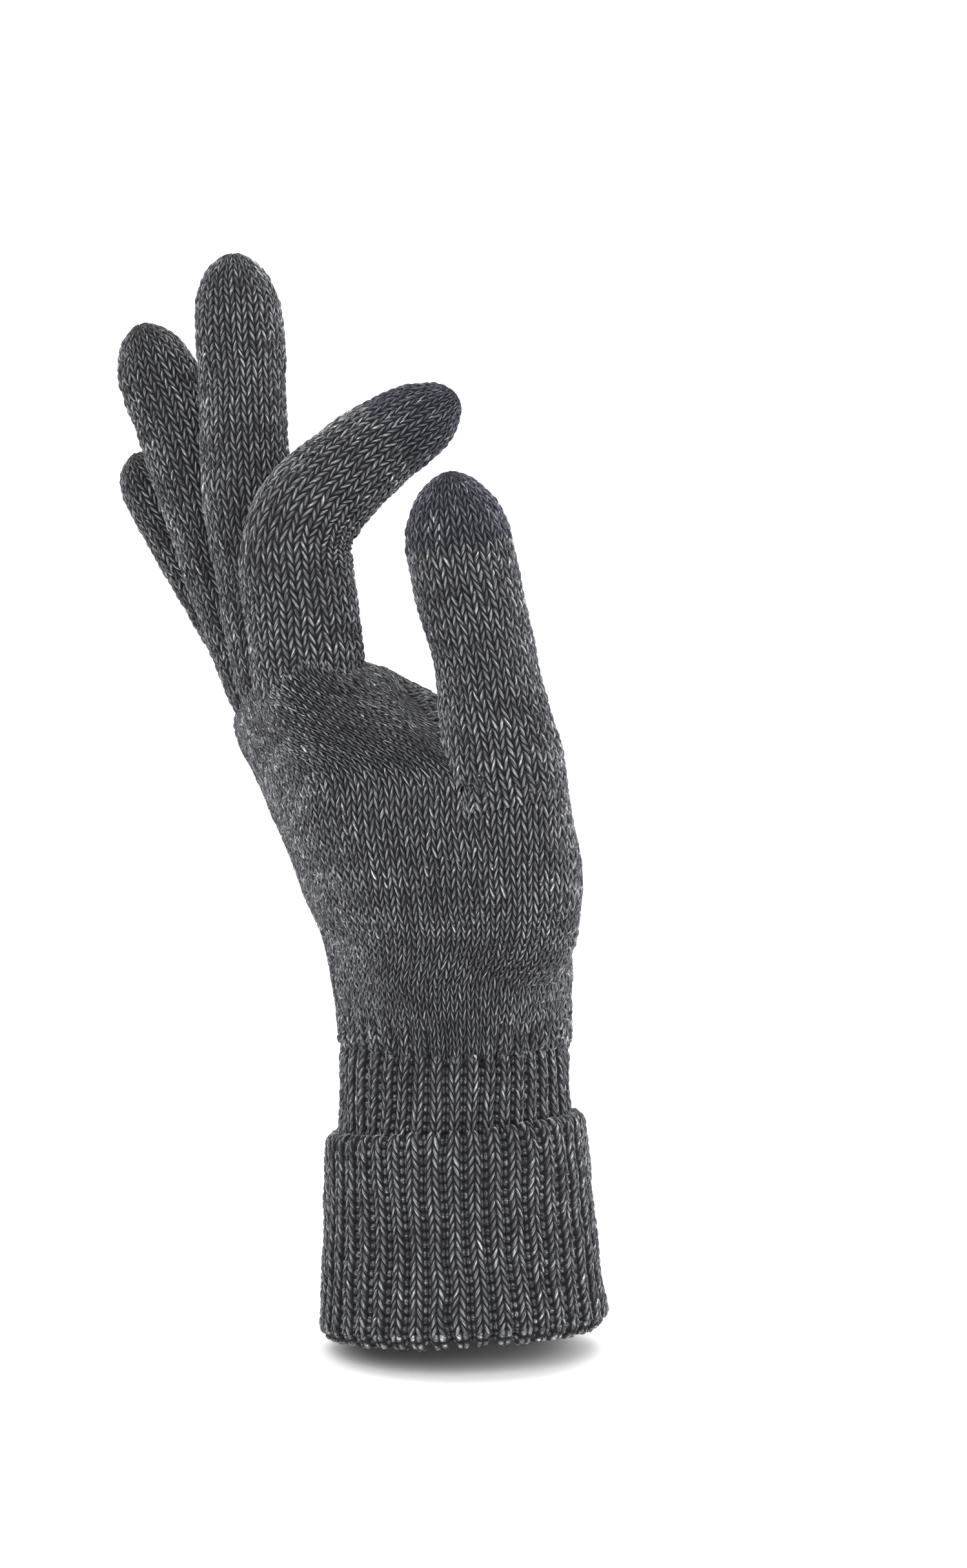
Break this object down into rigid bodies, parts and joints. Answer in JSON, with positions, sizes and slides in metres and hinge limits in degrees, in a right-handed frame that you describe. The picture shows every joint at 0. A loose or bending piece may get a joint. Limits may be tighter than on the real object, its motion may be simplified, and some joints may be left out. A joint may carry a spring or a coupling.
{
  "type": "knitted touchscreen glove",
  "caption": "Left-hand knitted wool glove with a turned-up ribbed cuff and dark conductive yarn at the thumb and index fingertips for touchscreens.",
  "frame": {"origin": "centre of the wrist opening, at the fold of the turned-up cuff", "axes": "+Z from the wrist opening to the fingertips, +X the way the palm faces, -Y towards the thumb"},
  "size_m": [0.1151, 0.1106, 0.2583],
  "materials": {
    "stockinette_knit": "charcoal heathered wool knit",
    "rib_knit": "charcoal heathered wool, one by one rib",
    "conductive_yarn": "dark navy conductive yarn",
    "seam_yarn": "gathered wool yarn"
  },
  "bodies": {
    "hand": {"cuff_turn_up": "rib_knit", "cuff_fold": "rib_knit", "cuff_inner_rib": "rib_knit", "cuff_cast_off_edge": "rib_knit", "wrist_rib": "rib_knit", "hand_tube": "stockinette_knit", "finger_web": "stockinette_knit", "thumb_gusset": "stockinette_knit", "thumb_crotch_seam": "seam_yarn", "thumb_root_sleeve": "stockinette_knit", "index_root_sleeve": "stockinette_knit", "middle_root_sleeve": "stockinette_knit", "ring_root_sleeve": "stockinette_knit", "little_root_sleeve": "stockinette_knit"},
    "index_base": {"index_proximal": "stockinette_knit", "index_middle_sleeve": "stockinette_knit"},
    "index_mid": {"index_middle": "stockinette_knit", "index_end_sleeve": "stockinette_knit"},
    "index_end": {"index_distal": "stockinette_knit", "index_conductive_tip": "conductive_yarn", "index_tip_gather": "seam_yarn"},
    "middle_base": {"middle_proximal": "stockinette_knit", "middle_middle_sleeve": "stockinette_knit"},
    "middle_mid": {"middle_middle": "stockinette_knit", "middle_end_sleeve": "stockinette_knit"},
    "middle_end": {"middle_distal": "stockinette_knit", "middle_tip_gather": "seam_yarn"},
    "ring_base": {"ring_proximal": "stockinette_knit", "ring_middle_sleeve": "stockinette_knit"},
    "ring_mid": {"ring_middle": "stockinette_knit", "ring_end_sleeve": "stockinette_knit"},
    "ring_end": {"ring_distal": "stockinette_knit", "ring_tip_gather": "seam_yarn"},
    "little_base": {"little_proximal": "stockinette_knit", "little_middle_sleeve": "stockinette_knit"},
    "little_mid": {"little_middle": "stockinette_knit", "little_end_sleeve": "stockinette_knit"},
    "little_end": {"little_distal": "stockinette_knit", "little_tip_gather": "seam_yarn"},
    "thumb_base": {"thumb_proximal": "stockinette_knit", "thumb_joint_sleeve": "stockinette_knit"},
    "thumb_end": {"thumb_distal": "stockinette_knit", "thumb_conductive_tip": "conductive_yarn", "thumb_tip_gather": "seam_yarn"}
  },
  "joints": [
    {"name": "index_root_joint", "type": "hinge", "parent": "hand", "child": "index_base", "pos_m": [-0.03582, -0.024, 0.15459], "axis": [0, 1, 0], "range_deg": [-25, 50], "deforming": ["index_root_sleeve"]},
    {"name": "index_middle_joint", "type": "hinge", "parent": "index_base", "child": "index_mid", "pos_m": [-0.03945, -0.024, 0.18696], "axis": [0, 1, 0], "range_deg": [-52, 40], "deforming": ["index_middle_sleeve"]},
    {"name": "index_end_joint", "type": "hinge", "parent": "index_mid", "child": "index_end", "pos_m": [-0.02331, -0.024, 0.20255], "axis": [0, 1, 0], "range_deg": [-20, 30], "deforming": ["index_end_sleeve"]},
    {"name": "middle_root_joint", "type": "hinge", "parent": "hand", "child": "middle_base", "pos_m": [-0.04086, -0.0025, 0.15864], "axis": [0, 1, 0], "range_deg": [-20, 55], "deforming": ["middle_root_sleeve"]},
    {"name": "middle_middle_joint", "type": "hinge", "parent": "middle_base", "child": "middle_mid", "pos_m": [-0.04769, -0.0025, 0.19512], "axis": [0, 1, 0], "range_deg": [-14, 80], "deforming": ["middle_middle_sleeve"]},
    {"name": "middle_end_joint", "type": "hinge", "parent": "middle_mid", "child": "middle_end", "pos_m": [-0.04821, -0.0025, 0.22533], "axis": [0, 1, 0], "range_deg": [-6, 45], "deforming": ["middle_end_sleeve"]},
    {"name": "ring_root_joint", "type": "hinge", "parent": "hand", "child": "ring_base", "pos_m": [-0.04346, 0.0188, 0.15694], "axis": [0, 1, 0], "range_deg": [-15, 60], "deforming": ["ring_root_sleeve"]},
    {"name": "ring_middle_joint", "type": "hinge", "parent": "ring_base", "child": "ring_mid", "pos_m": [-0.05378, 0.0188, 0.19009], "axis": [0, 1, 0], "range_deg": [-5, 85], "deforming": ["ring_middle_sleeve"]},
    {"name": "ring_end_joint", "type": "hinge", "parent": "ring_mid", "child": "ring_end", "pos_m": [-0.06232, 0.0188, 0.21635], "axis": [0, 1, 0], "range_deg": [-6, 50], "deforming": ["ring_end_sleeve"]},
    {"name": "little_root_joint", "type": "hinge", "parent": "hand", "child": "little_base", "pos_m": [-0.03838, 0.0384, 0.15209], "axis": [0, 1, 0], "range_deg": [-12, 65], "deforming": ["little_root_sleeve"]},
    {"name": "little_middle_joint", "type": "hinge", "parent": "little_base", "child": "little_mid", "pos_m": [-0.05178, 0.0384, 0.17839], "axis": [0, 1, 0], "range_deg": [-6, 90], "deforming": ["little_middle_sleeve"]},
    {"name": "little_end_joint", "type": "hinge", "parent": "little_mid", "child": "little_end", "pos_m": [-0.06268, 0.0384, 0.19652], "axis": [0, 1, 0], "range_deg": [-8, 50], "deforming": ["little_end_sleeve"]},
    {"name": "thumb_root_joint", "type": "hinge", "parent": "hand", "child": "thumb_base", "pos_m": [0.0003, -0.0476, 0.1369], "axis": [0, -1, 0], "range_deg": [-25, 28], "deforming": ["thumb_root_sleeve"]},
    {"name": "thumb_middle_joint", "type": "hinge", "parent": "thumb_base", "child": "thumb_end", "pos_m": [-0.00797, -0.0476, 0.16574], "axis": [0, -1, 0], "range_deg": [-15, 60], "deforming": ["thumb_joint_sleeve"]}
  ]
}
